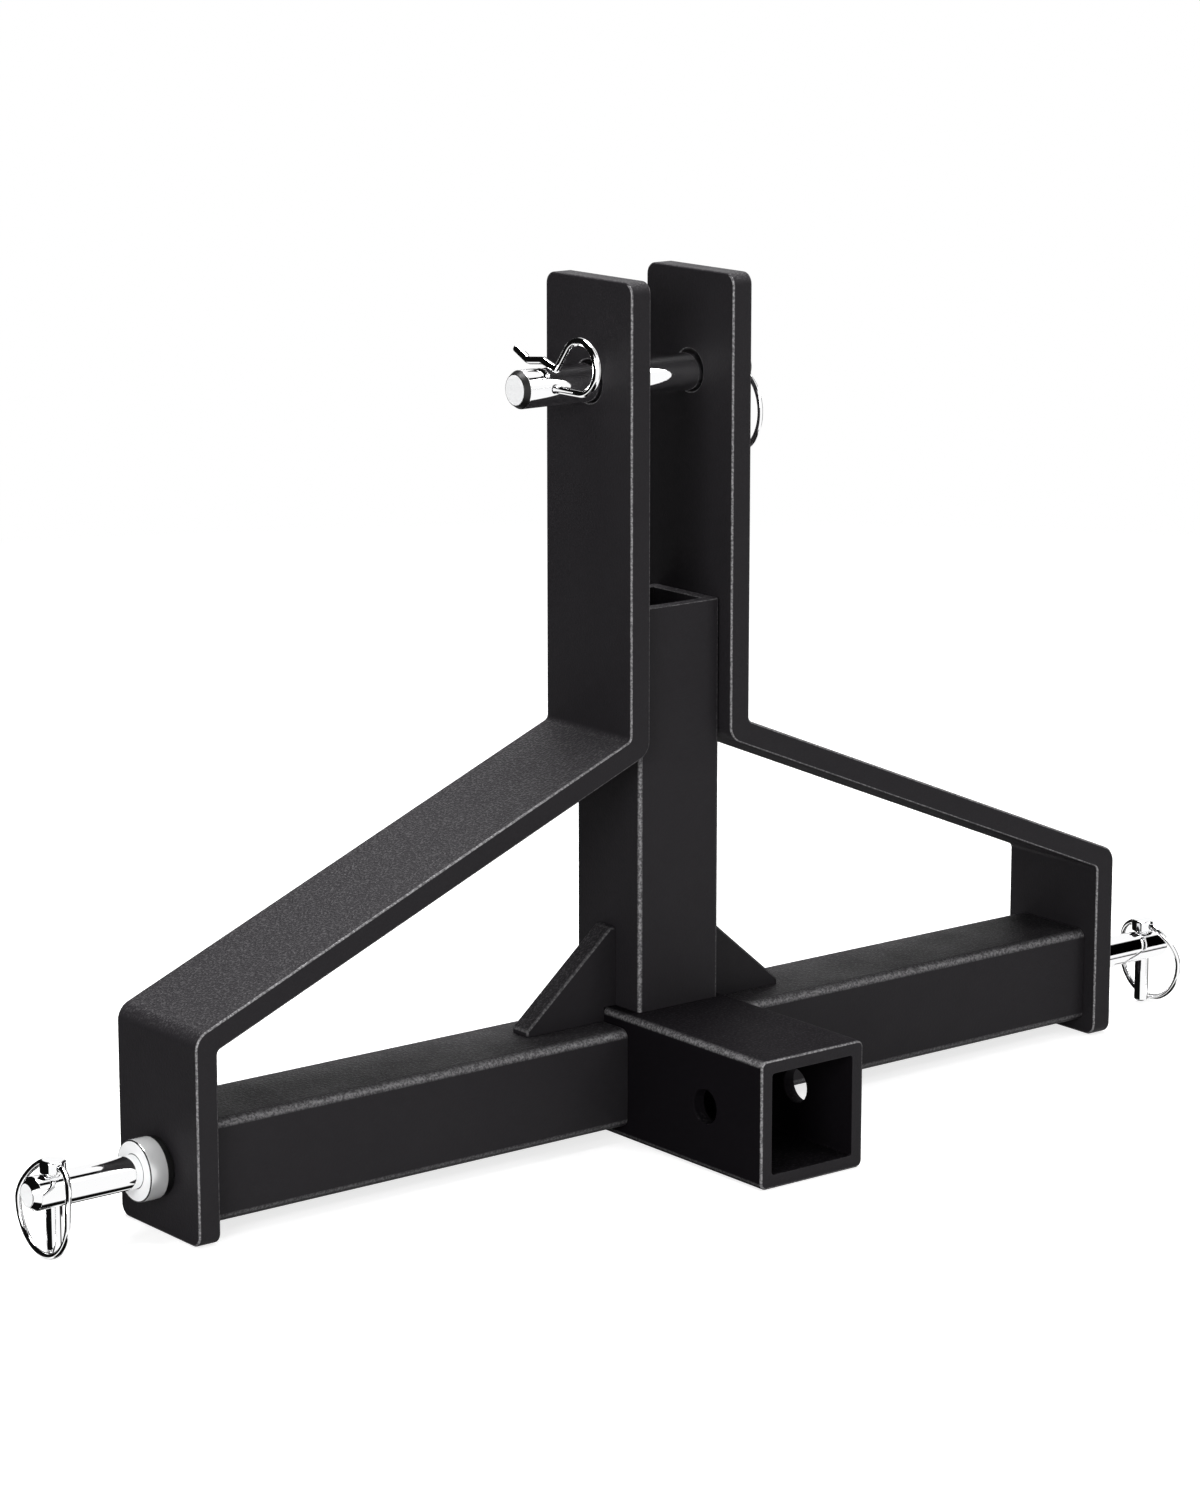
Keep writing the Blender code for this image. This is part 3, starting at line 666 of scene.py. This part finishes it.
class HITCH_OT_stage(bpy.types.Operator):
    """Sets the camera, the white floor and sky, and the softboxes"""

    bl_idname = "hitch.stage"
    bl_label = "Stage"

    def execute(self, context):
        studio = context.scene.hitch_studio
        context.scene.view_settings.view_transform = "Standard"
        self.camera(context, studio)
        self.floor()
        self.card()
        self.sky(context, studio)
        for side, place, width in SOFTBOXES:
            self.softbox(context, side + "_softbox", place, width, getattr(studio, side + "_light"))
        return {"FINISHED"}

    def camera(self, context, studio):
        turn = studio.azimuth
        lift = studio.elevation
        ahead = Vector((-math.sin(turn) * math.cos(lift), math.cos(turn) * math.cos(lift), -math.sin(lift)))
        camera = bpy.data.objects.new("camera", bpy.data.cameras.new("camera"))
        camera.location = Vector(studio.aim) - ahead * studio.distance
        camera.rotation_euler = (math.pi / 2 - lift, 0.0, turn)
        camera.data.lens = studio.lens
        camera.data.sensor_width = SENSOR_WIDTH
        context.scene.collection.objects.link(camera)
        context.scene.camera = camera

    def floor(self):
        """A disc that takes the shadow near the hitch and melts into the white sky further out."""
        shape = bmesh.new()
        bmesh.ops.create_circle(shape, cap_ends=True, segments=FLOOR_SIDES, radius=FLOOR_RADIUS)
        move(shape, (0.0, 0.0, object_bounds()[0].z - SEAT))
        floor = as_object("floor", shape)
        material, tree, shader = new_material("studio_floor")
        set_inputs(shader, {
            "Base Color": (FLOOR_GREY, FLOOR_GREY, FLOOR_GREY, 1.0),
            "Roughness": 0.9,
            "Specular IOR Level": 0.0,
        })
        reach = add(tree, "ShaderNodeVectorMath", {0: object_place(tree)}, operation="LENGTH")
        seen = self.seen(tree)
        far = calculate(tree, "MULTIPLY", seen, remap(tree, reach.outputs["Value"], *FLOOR_FADE))
        glow = calculate(tree, "MULTIPLY", seen, FLOOR_GLOW)
        lifted = add(tree, "ShaderNodeEmission", {"Strength": glow})
        near = add(tree, "ShaderNodeAddShader", {0: shader.outputs[0], 1: lifted.outputs[0]})
        white = add(tree, "ShaderNodeEmission", {"Strength": 1.0})
        mixed = add(tree, "ShaderNodeMixShader", {0: far, 1: near.outputs[0], 2: white.outputs[0]})
        set_inputs(tree.nodes["Material Output"], {"Surface": mixed.outputs[0]})
        floor.data.materials.append(material)
        floor.visible_glossy = False
        floor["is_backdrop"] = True

    def card(self):
        """A black card on the right, seen only in polished metal."""
        shape = bmesh.new()
        shape.faces.new([shape.verts.new((x, BLACK_CARD_Y, z)) for x, z in BLACK_CARD])
        card = as_object("black_card", shape)
        material, _, shader = new_material("studio_card")
        set_inputs(shader, {"Base Color": (0.0, 0.0, 0.0, 1.0), "Specular IOR Level": 0.0})
        card.data.materials.append(material)
        card.visible_camera = False
        card.visible_diffuse = False
        card.visible_transmission = False
        card.visible_shadow = False
        card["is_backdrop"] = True

    def seen(self, tree):
        """1 for what the camera sees, straight or in metal and glass, and 0 for light on the hitch."""
        path = add(tree, "ShaderNodeLightPath", {})
        mirrored = calculate(
            tree, "MAXIMUM", path.outputs["Is Glossy Ray"], path.outputs["Is Transmission Ray"]
        )
        return calculate(tree, "MAXIMUM", path.outputs["Is Camera Ray"], mirrored)

    def sky(self, context, studio):
        """White all round, with the black strips that draw dark lines along polished metal."""
        world = bpy.data.worlds.new("studio_sky")
        world.use_nodes = True
        tree = world.node_tree
        way = add(tree, "ShaderNodeTexCoord", {}).outputs["Generated"]
        parts = add(tree, "ShaderNodeSeparateXYZ", {0: way})
        turn = calculate(tree, "ARCTAN2", parts.outputs[Y], parts.outputs[X])
        turn = calculate(tree, "FLOORED_MODULO", turn, math.tau)
        lift = calculate(tree, "ARCSINE", parts.outputs[Z], 0.0)
        black = 0.0
        for start, end, low, high in BLACK_STRIPS:
            across = self.window(tree, turn, math.radians(start), math.radians(end))
            upright = self.window(tree, lift, math.radians(low), math.radians(high))
            black = calculate(tree, "MAXIMUM", black, calculate(tree, "MULTIPLY", across, upright))
        mirrored = add(tree, "ShaderNodeLightPath", {}).outputs["Is Glossy Ray"]
        black = calculate(tree, "MULTIPLY", black, mirrored)
        level = remap(tree, self.seen(tree), 0.0, 1.0, studio.sky, 1.0)
        level = calculate(tree, "MULTIPLY", level, remap(tree, black, 0.0, 1.0, 1.0, STRIP_LEVEL))
        set_inputs(tree.nodes["Background"], {"Color": (1.0, 1.0, 1.0, 1.0), "Strength": level})
        context.scene.world = world

    def window(self, tree, value, low, high):
        """1 between two angles, with a soft edge outside them."""
        opened = remap(tree, value, low - STRIP_EDGE, low)
        closed = remap(tree, value, high, high + STRIP_EDGE, 1.0, 0.0)
        return calculate(tree, "MULTIPLY", opened, closed)

    def softbox(self, context, name, at, width, power):
        light = bpy.data.lights.new(name, "AREA")
        light.shape = "RECTANGLE"
        light.size = width
        light.size_y = width
        light.energy = power
        lamp = bpy.data.objects.new(name, light)
        lamp.location = at
        lamp.rotation_euler = (LIGHT_AIM - Vector(at)).to_track_quat("-Z", "Y").to_euler()
        context.scene.collection.objects.link(lamp)


class HITCH_OT_receiver(bpy.types.Operator):
    """Finishes the receiver tube, with its hitch pin hole"""

    bl_idname = "hitch.receiver"
    bl_label = "Receiver tube"

    def execute(self, context):
        sizes = context.scene.hitch_frame_sizes
        colours = context.scene.hitch_finishes
        size = extent("receiver_tube")
        mouth = -size.y / 2
        hole_place = (0.0, mouth + sizes.hitch_pin_setback, 0.0)
        hole = rod(sizes.hitch_pin_hole / 2, size.x + 2 * CUT_PAST, X, hole_place)
        shape = square_tube(
            size, sizes.receiver_wall, sizes.receiver_corner, sizes.receiver_bore_corner, Y, hole
        )
        outer = [
            edge for edge in end_edges(shape, Y, mouth)
            if all(self.on_rim(vert.co, size, sizes.receiver_wall) for vert in edge.verts)
        ]
        round_off(shape, outer, sizes.edge, crown=1.0)
        round_off(shape, sharp_edges(shape), sizes.edge / 2)
        clear_wear_and_highlight(shape, Y, mouth)
        clear_wear_and_highlight(shape, Y, -mouth)
        # The mouth's rim keeps the frame's coat, and the rest of the tube takes the darker copy, which is
        # painted shade.
        for face in shape.faces:
            if face.normal.y < -RIM_FACING and face.calc_center_median().y < mouth + sizes.edge:
                face.material_index = ENDS
        move(shape, middle("receiver_tube"))
        # Painted shade: the receiver's body gets a darker, less glossy copy of the frame's coat for the
        # shade of the mast and plates.
        coat = powder_coat("receiver_powder_coat", colours, colours.receiver, gloss=0.01, relief=0.3)
        finished("receiver_tube", shape, "frame_paint", coat, frame_coat(context))
        return {"FINISHED"}

    def on_rim(self, place, size, wall):
        """Whether a point of the mouth lies on the tube's outside and not on its bore."""
        return max(abs(place.x), abs(place.z)) > (size.x - wall) / 2


class HITCH_OT_tubes(bpy.types.Operator):
    """Finishes the mast tube and the two cross tubes"""

    bl_idname = "hitch.tubes"
    bl_label = "Mast and cross tubes"

    def execute(self, context):
        sizes = context.scene.hitch_frame_sizes
        tubes = (
            ("mast_tube", sizes.mast_corner, Z),
            ("left_cross_tube", sizes.cross_tube_corner, X),
            ("right_cross_tube", sizes.cross_tube_corner, X),
        )
        for node, corner, axis in tubes:
            size = extent(node)
            shape = square_tube(size, sizes.tube_wall, corner, sizes.tube_bore_corner, axis)
            if node == "mast_tube":
                top = size.z / 2
                round_off(shape, end_edges(shape, Z, top), sizes.edge, crown=FAINT_WEAR_AND_HIGHLIGHT)
                clear_wear_and_highlight(shape, Z, top)
            move(shape, middle(node))
            finished(node, shape, "frame_paint", frame_coat(context))
        return {"FINISHED"}


class HITCH_OT_side_plates(bpy.types.Operator):
    """Finishes the two side plates, each a flat bar bent twice"""

    bl_idname = "hitch.side_plates"
    bl_label = "Side plates"

    def execute(self, context):
        for hand, side in HANDS:
            shape = self.plate(context.scene.hitch_frame_sizes, context.scene.hitch_pin_sizes)
            to_side(shape, side)
            finished(hand + "_side_plate", shape, "frame_paint", frame_coat(context))
        return {"FINISHED"}

    def plate(self, sizes, pins):
        low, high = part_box("right_side_plate")
        thick = sizes.plate_thickness
        pin_height = middle("right_lower_pin").z
        upper = pin_height + sizes.upper_bend
        lower = pin_height + sizes.lower_bend
        outer_x = low.x + thick
        slope = math.atan2(upper - lower, high.x - outer_x)
        drop = thick / math.cos(slope)
        under_low = upper - (high.x - thick - outer_x) * math.tan(slope) - drop
        under_high = upper + thick * math.tan(slope) - drop
        outline = [
            (outer_x, high.z), (outer_x, upper), (high.x, lower), (high.x, low.z),
            (high.x - thick, low.z), (high.x - thick, under_low), (low.x, under_high), (low.x, high.z),
        ]
        shape = extruded(outline, high.y - low.y)
        set_back = math.tan((math.pi / 2 - slope) / 2)
        bends = (
            (outline[1], sizes.inner_bend), (outline[2], sizes.outer_bend),
            (outline[5], sizes.inner_bend), (outline[6], sizes.outer_bend),
        )
        for (x, z), radius in bends:
            crease = [
                edge for edge in shape.edges
                if all(abs(vert.co.x - x) + abs(vert.co.z - z) < TOUCH for vert in edge.verts)
            ]
            round_off(shape, crease, radius * set_back, CORNER_STEPS)
        ends = [
            edge for edge in shape.edges
            if runs_along(edge, X) and min(abs(edge.verts[0].co.z - z) for z in (low.z, high.z)) < TOUCH
        ]
        round_off(shape, ends, sizes.end_corner, CORNER_STEPS)
        deep = thick + 2 * CUT_PAST
        hole_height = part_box("top_link_pin")[0].z + sizes.top_hole / 2 - 2 * SEAT
        shape = bored(
            shape,
            rod(sizes.top_hole / 2, deep, X, (low.x + thick / 2, 0.0, hole_height)),
            rod(pins.shank / 2 + SEAT, deep, X, (high.x - thick / 2, 0.0, pin_height)),
        )
        round_off(shape, sharp_edges(shape), sizes.edge, crown=1.0)
        clear_wear_and_highlight(shape, Z, high.z - sizes.edge)
        move(shape, (0.0, (low.y + high.y) / 2, 0.0))
        return shape


class HITCH_OT_gussets(bpy.types.Operator):
    """Finishes the two gussets between the mast and the cross tubes"""

    bl_idname = "hitch.gussets"
    bl_label = "Gussets"

    def execute(self, context):
        sizes = context.scene.hitch_frame_sizes
        nose = sizes.gusset_nose
        low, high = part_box("right_gusset")
        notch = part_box("receiver_tube")[1]
        outline = [
            (low.x, notch.z + SEAT), (notch.x + SEAT, notch.z + SEAT), (notch.x + SEAT, low.z),
            (high.x, low.z), (high.x, low.z + nose), (low.x + nose, high.z), (low.x, high.z),
        ]
        for hand, side in HANDS:
            shape = extruded(outline, high.y - low.y)
            round_off(shape, self.open_edges(shape, low, notch), sizes.edge, crown=FAINT_WEAR_AND_HIGHLIGHT)
            move(shape, (0.0, (low.y + high.y) / 2, 0.0))
            to_side(shape, side)
            finished(hand + "_gusset", shape, "frame_paint", frame_coat(context))
        return {"FINISHED"}

    def open_edges(self, shape, low, notch):
        """The edges on the free, sloping side: those against the mast and the tubes stay square."""
        found = []
        for edge in shape.edges:
            place = (edge.verts[0].co + edge.verts[1].co) / 2
            against_mast = place.x < low.x + TOUCH
            against_tube = place.z < low.z + TOUCH
            in_notch = place.x < notch.x + 2 * SEAT and place.z < notch.z + 2 * SEAT
            if not (against_mast or against_tube or in_notch):
                found.append(edge)
        return found


class HITCH_OT_lower_pins(bpy.types.Operator):
    """Finishes the lower link pins, with their collars and washers, and coats the hidden nuts"""

    bl_idname = "hitch.lower_pins"
    bl_label = "Lower link pins"

    def execute(self, context):
        pins = context.scene.hitch_pin_sizes
        colours = context.scene.hitch_finishes
        axis = middle("right_lower_pin")
        centre = Vector((0.0, axis.y, axis.z))
        bright = shared(bright_plating, "bright_plating", colours)
        satin = shared(satin_plating, "satin_plating", colours, centre, metal=0.55, roughness=0.2)
        end = shared(satin_plating, "turned_pin_face", colours, centre, metal=0.0, roughness=0.5)
        oxide = shared(black_oxide, "black_oxide", colours)
        for hand, side in HANDS:
            pieces = (
                ("_lower_pin", self.pin(pins), "bright_zinc", (bright, end)),
                ("_pin_collar", self.collar(pins), "satin_zinc", (satin, end, oxide)),
                ("_lock_washer", self.washer(pins), "black_oxide", (oxide,)),
            )
            for tail, shape, slot, materials in pieces:
                move(shape, centre)
                to_side(shape, side)
                finished(hand + tail, shape, slot, *materials)
            nut = frame["nodes"][hand + "_pin_nut"]
            nut.data.materials.clear()
            nut.data.materials.append(oxide)
        return {"FINISHED"}

    def pin(self, pins):
        low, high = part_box("right_lower_pin")
        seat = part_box("right_pin_collar")[0].x
        body = (high.z - low.z) / 2
        shape = turned([
            (low.x, 0.0), (low.x, pins.shank / 2), (seat, pins.shank / 2), (seat, body),
            (high.x - pins.pin_chamfer, body), (high.x, pins.pin_tip / 2), (high.x, 0.0),
        ])
        round_off(shape, sharp_edges(shape, CONE_SHARP), pins.collar_edge / 2, FINE_STEPS)
        lynch_place = (middle("right_lynch_pin").x, 0.0, 0.0)
        shape = bored(shape, rod(pins.lynch_shaft / 2 + SEAT, 2 * (body + CUT_PAST), Z, lynch_place))
        mark_ends(shape)
        return shape

    def collar(self, pins):
        low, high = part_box("right_pin_collar")
        rim = (high.z - low.z) / 2
        shape = self.ring(low, high, extent("right_lower_pin").z / 2 + SEAT)
        rims = [edge for edge in sharp_edges(shape) if edge.verts[0].co.yz.length > rim - TOUCH]
        round_off(shape, rims, pins.collar_edge)
        mark_ends(shape, CONES)
        return shape

    def washer(self, pins):
        low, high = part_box("right_lock_washer")
        bore = pins.shank / 2 + SEAT
        rim = (high.z - low.z) / 2
        thick = high.x - low.x
        shape = self.ring(low, high, bore)
        round_off(shape, sharp_edges(shape), thick / 10, FINE_STEPS)
        split = block((3 * thick, thick / 2, rim))
        rotate(split, WASHER_SPLIT, "Z")
        move(split, ((low.x + high.x) / 2, 0.0, -(bore + rim) / 2))
        return bored(shape, split)

    def ring(self, low, high, bore):
        """A plain ring round the X axis that fills a box and leaves a bore of the given radius."""
        rim = (high.z - low.z) / 2
        return turned([(low.x, bore), (high.x, bore), (high.x, rim), (low.x, rim)])


class HITCH_OT_lynch_pins(bpy.types.Operator):
    """Finishes the lynch pins and their rings"""

    bl_idname = "hitch.lynch_pins"
    bl_label = "Lynch pins and rings"

    def execute(self, context):
        pins = context.scene.hitch_pin_sizes
        bright = shared(bright_plating, "bright_plating", context.scene.hitch_finishes)
        for hand, side in HANDS:
            for tail, shape in (("_lynch_pin", self.pin(pins)), ("_lynch_ring", self.ring(pins))):
                to_side(shape, side)
                finished(hand + tail, shape, "bright_zinc", bright)
        return {"FINISHED"}

    def pin(self, pins):
        """Turned lying along X, then stood up."""
        low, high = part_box("right_lynch_pin")
        centre = middle("right_lynch_pin")
        shaft = pins.lynch_shaft / 2
        head = (high.x - low.x) / 2
        seat = high.z - pins.lynch_head
        shape = turned([
            (low.z, 0.0), (low.z, shaft - pins.lynch_chamfer), (low.z + pins.lynch_chamfer, shaft),
            (seat, shaft), (seat, head), (high.z, head), (high.z, 0.0),
        ])
        round_off(shape, end_edges(shape, X, high.z), pins.lynch_edge)
        round_off(shape, sharp_edges(shape), pins.lynch_edge / 3, FINE_STEPS)
        rotate(shape, -math.pi / 2, "Y")
        hole_place = (0.0, 0.0, high.z - pins.lynch_head / 2)
        shape = bored(shape, rod(pins.ring_wire / 2 + SEAT, 3 * head, Y, hole_place, HOLE_SIDES))
        move(shape, (centre.x, centre.y, 0.0))
        return shape

    def ring(self, pins):
        """An open ring: two stubs in the head's cross hole, and a round that leans clear of the shaft."""
        low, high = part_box("right_lynch_ring")
        head_low, head_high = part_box("right_lynch_pin")
        centre = middle("right_lynch_pin")
        hinge = Vector((centre.x, centre.y, head_high.z - pins.lynch_head / 2))
        radius = (high.y - low.y - pins.ring_wire) / 2
        lean_out = high.x - pins.ring_wire / 2 - centre.x
        stub = (head_high.x - head_low.x) / 2 + pins.ring_wire / 2 + SEAT
        start = math.asin(stub / radius)
        half = [Vector((0.0, -2 * SEAT, 0.0)), Vector((0.0, -stub * STUB_SHARE, 0.0))]
        for step in range(LYNCH_RING_STEPS + 1):
            angle = start + (math.pi - start) * step / LYNCH_RING_STEPS
            lean = min(1.0, (angle - start) / (math.pi / 2 - start))
            ease = lean * lean * (3 - 2 * lean)
            drop = radius * (math.cos(angle) - math.cos(start))
            half.append(Vector((lean_out * ease, -radius * math.sin(angle), drop)))
        path = half + [Vector((point.x, -point.y, point.z)) for point in reversed(half[:-1])]
        return wire([hinge + point for point in path], pins.ring_wire)


class HITCH_OT_top_pin(bpy.types.Operator):
    """Finishes the top link pin and the pull ring on its right end"""

    bl_idname = "hitch.top_pin"
    bl_label = "Top link pin and pull ring"

    def execute(self, context):
        colours = context.scene.hitch_finishes
        centre = middle("top_link_pin")
        bright = shared(bright_plating, "bright_plating", colours)
        end = shared(satin_plating, "turned_face", colours, centre, metal=0.0, roughness=0.5)
        oxide = shared(black_oxide, "black_oxide", colours)
        shape = self.pin(context.scene.hitch_pin_sizes)
        finished("top_link_pin", shape, "bright_zinc", bright, end, oxide)
        finished("pull_ring", self.ring(), "bright_zinc", bright)
        return {"FINISHED"}

    def pin(self, pins):
        low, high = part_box("top_link_pin")
        centre = middle("top_link_pin")
        radius = (high.z - low.z) / 2
        tip = pins.top_tip / 2
        shape = turned([
            (low.x, 0.0), (low.x, tip), (low.x + pins.top_chamfer, radius),
            (high.x - pins.top_chamfer, radius), (high.x, tip), (high.x, 0.0),
        ])
        round_off(shape, sharp_edges(shape, CONE_SHARP), pins.collar_edge / 2, FINE_STEPS)
        across = 2 * (radius + CUT_PAST)
        holes = (("r_clip", pins.clip_wire), ("pull_ring", pins.ring_wire + self.sag(radius)))
        shape = bored(shape, *(
            rod(width / 2 + SEAT, across, Y, (middle(node).x, 0.0, 0.0), HOLE_SIDES)
            for node, width in holes
        ))
        mark_ends(shape, CONES)
        move(shape, (0.0, centre.y, centre.z))
        return shape

    def sag(self, pin_radius):
        """How far the curved pull ring wanders from straight inside its hole."""
        bend = (extent("pull_ring").y - extent("pull_ring").x) / 2
        return bend - math.sqrt(bend**2 - pin_radius**2)

    def ring(self):
        size = extent("pull_ring")
        wire_radius = size.x / 2
        shape = new_shape()
        bmesh.ops.create_circle(shape, cap_ends=False, segments=PULL_RING_SIDES, radius=wire_radius)
        move(shape, (0.0, size.y / 2 - wire_radius, 0.0))
        spin(shape, shape.verts[:] + shape.edges[:], PULL_RING_STEPS)
        move(shape, middle("pull_ring"))
        return shape


class HITCH_OT_r_clip(bpy.types.Operator):
    """Finishes the R clip through the top link pin's left end"""

    bl_idname = "hitch.r_clip"
    bl_label = "R clip"

    def execute(self, context):
        pins = context.scene.hitch_pin_sizes
        bright = shared(bright_plating, "bright_plating", context.scene.hitch_finishes)
        start = Vector((middle("r_clip").x, middle("top_link_pin").y, middle("top_link_pin").z))
        flat = self.path(pins, extent("top_link_pin").z / 2)
        path = [start + Vector((0.0, point.x, point.y)) for point in flat]
        finished("r_clip", wire(path, pins.clip_wire), "bright_zinc", bright)
        return {"FINISHED"}

    def path(self, pins, pin_radius):
        """The hairpin, seen along the pin: straight leg, round loop, neck, and a leg bowed over the pin."""
        clear = pin_radius + pins.clip_wire / 2 + SEAT
        centre = Vector((-pins.clip_loop_centre, pins.clip_loop))
        neck = Vector((-pins.clip_neck_out, pins.clip_neck_up))
        to_neck = neck - centre
        leave = math.atan2(to_neck.y, to_neck.x) + math.acos(pins.clip_loop / to_neck.length)
        start = -math.pi / 2
        sweep = leave - math.tau - start
        path = [Vector((pins.clip_leg, 0.0)), Vector((0.0, 0.0))]
        for step in range(CLIP_LOOP_STEPS + 1):
            angle = start + sweep * step / CLIP_LOOP_STEPS
            path.append(centre + pins.clip_loop * Vector((math.cos(angle), math.sin(angle))))
        bow = Vector((0.0, clear + pins.clip_bow_rise))
        dip = Vector((pins.clip_dip_out, clear))
        flare = Vector((pins.clip_flare_out, clear + pins.clip_flare_rise))
        path += arc_corner(path[-1], neck, bow, pins.clip_bend)
        path += arc_corner(neck, bow, dip, pins.clip_bend * 2)
        path += arc_corner(bow, dip, flare, pins.clip_bend * 2)
        path.append(flare)
        return path


class HITCH_PT_panel(bpy.types.Panel):
    """Lists the hitch's sizes, finishes and pieces"""

    bl_idname = "HITCH_PT_panel"
    bl_label = "Receiver hitch"
    bl_space_type = "VIEW_3D"
    bl_region_type = "UI"
    bl_category = "Hitch"

    def draw(self, context):
        for group in GROUPS:
            box = self.layout.box()
            values = getattr(context.scene, group)
            for name in values.bl_rna.properties.keys():
                if name not in ("rna_type", "name"):
                    box.prop(values, name)
        for operator in OPERATORS:
            self.layout.operator(operator.bl_idname)


GROUPS = {
    "hitch_frame_sizes": HitchFrameSizes,
    "hitch_pin_sizes": HitchPinSizes,
    "hitch_finishes": HitchFinishes,
    "hitch_studio": HitchStudio,
}
OPERATORS = (
    HITCH_OT_stage,
    HITCH_OT_receiver,
    HITCH_OT_tubes,
    HITCH_OT_side_plates,
    HITCH_OT_gussets,
    HITCH_OT_lower_pins,
    HITCH_OT_lynch_pins,
    HITCH_OT_top_pin,
    HITCH_OT_r_clip,
)


def register():
    for kind in (*GROUPS.values(), *OPERATORS, HITCH_PT_panel):
        bpy.utils.register_class(kind)
    for name, group in GROUPS.items():
        setattr(bpy.types.Scene, name, PointerProperty(type=group))


def unregister():
    for name in GROUPS:
        delattr(bpy.types.Scene, name)
    for kind in reversed((*GROUPS.values(), *OPERATORS, HITCH_PT_panel)):
        bpy.utils.unregister_class(kind)


def main():
    register()
    bpy.ops.hitch.stage()
    bpy.ops.hitch.receiver()
    bpy.ops.hitch.tubes()
    bpy.ops.hitch.side_plates()
    bpy.ops.hitch.gussets()
    bpy.ops.hitch.lower_pins()
    bpy.ops.hitch.lynch_pins()
    bpy.ops.hitch.top_pin()
    bpy.ops.hitch.r_clip()


if __name__ == "__main__":
    main()
